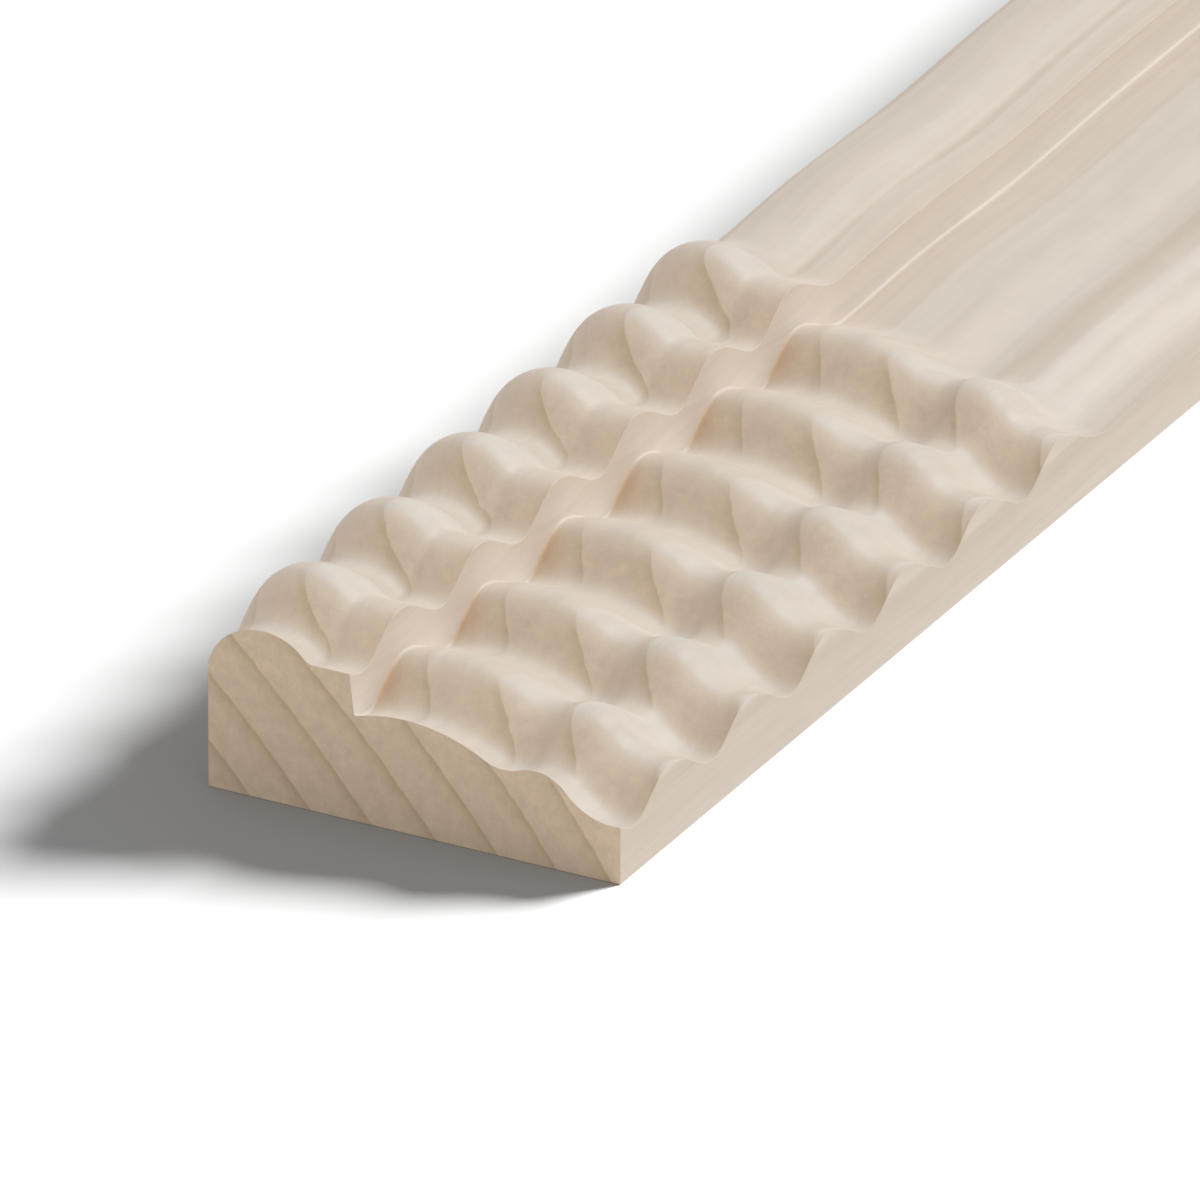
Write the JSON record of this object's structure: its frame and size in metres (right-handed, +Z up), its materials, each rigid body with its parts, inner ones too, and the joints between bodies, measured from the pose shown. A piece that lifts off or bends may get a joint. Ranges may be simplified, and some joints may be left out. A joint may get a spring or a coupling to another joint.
{
  "type": "ripple moulding",
  "caption": "Length of planed softwood moulding with two beads, a stepped crown and a cove, its face worked in ripples at one end; flat underside and square-cut ends.",
  "frame": {"origin": "middle of the flat underside", "axes": "+X along the length, away from the rippled end; +Y towards the tall bead edge; +Z up out of the underside"},
  "size_m": [1, 0.044, 0.0201],
  "materials": {
    "softwood": "planed and sanded, unfinished"
  },
  "bodies": {
    "root": {"moulding": "softwood"}
  },
  "joints": []
}
